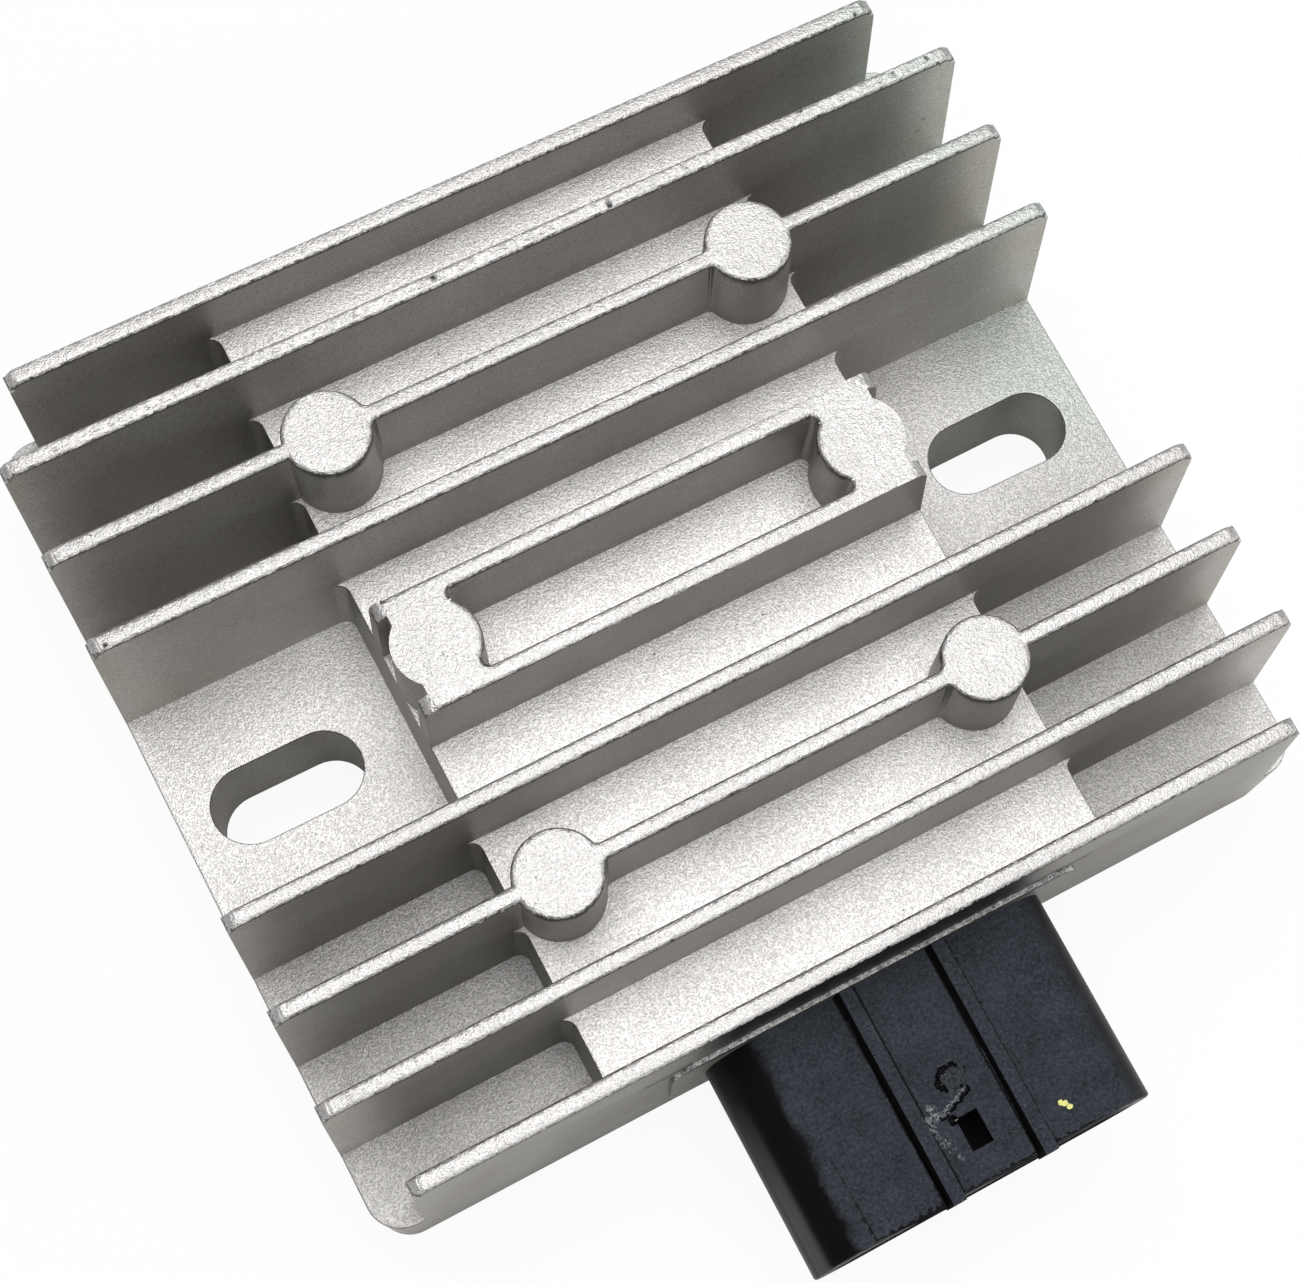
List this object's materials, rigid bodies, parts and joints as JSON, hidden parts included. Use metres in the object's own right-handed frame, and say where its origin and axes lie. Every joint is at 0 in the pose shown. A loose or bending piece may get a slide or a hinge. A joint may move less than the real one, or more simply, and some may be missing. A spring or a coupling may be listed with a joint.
{
  "type": "voltage regulator rectifier",
  "caption": "Finned die-cast regulator rectifier with slotted ears and a black moulded connector on one side.",
  "frame": {"origin": "on the flat mounting face, midway between the two bolt slots", "axes": "+X along the fins, -Y to the connector side, +Z from the mounting face to the fin tips"},
  "size_m": [0.086, 0.0929, 0.0266],
  "materials": {
    "cast_aluminium": "shot-blasted casting",
    "connector_plastic": "matte moulded",
    "seal_rubber": "matte",
    "tinned_brass": "tin plated",
    "copper": "rolled copper",
    "semiconductor": "polished silicon",
    "insulating_ceramic": "fired ceramic",
    "board_laminate": "lacquered",
    "component_body": "moulded",
    "potting_resin": "cast resin"
  },
  "bodies": {
    "root": {"finned_housing": "cast_aluminium", "connector_shell": "connector_plastic", "connector_seal": "seal_rubber", "terminal_phase_a": "tinned_brass", "terminal_positive": "tinned_brass", "terminal_phase_b": "tinned_brass", "terminal_negative": "tinned_brass", "terminal_phase_c": "tinned_brass", "insulating_plate": "insulating_ceramic", "phase_plate_a": "copper", "phase_plate_b": "copper", "phase_plate_c": "copper", "thyristor_a": "semiconductor", "thyristor_b": "semiconductor", "thyristor_c": "semiconductor", "diode_a": "semiconductor", "diode_b": "semiconductor", "diode_c": "semiconductor", "positive_busbar": "copper", "negative_busbar": "copper", "control_board": "board_laminate", "gate_pin_a": "tinned_brass", "gate_pin_b": "tinned_brass", "gate_pin_c": "tinned_brass", "supply_pin_positive": "tinned_brass", "supply_pin_negative": "tinned_brass", "control_chip": "component_body", "timing_capacitor": "component_body", "voltage_reference": "component_body", "sense_resistor": "component_body", "potting_resin": "potting_resin"}
  },
  "joints": []
}
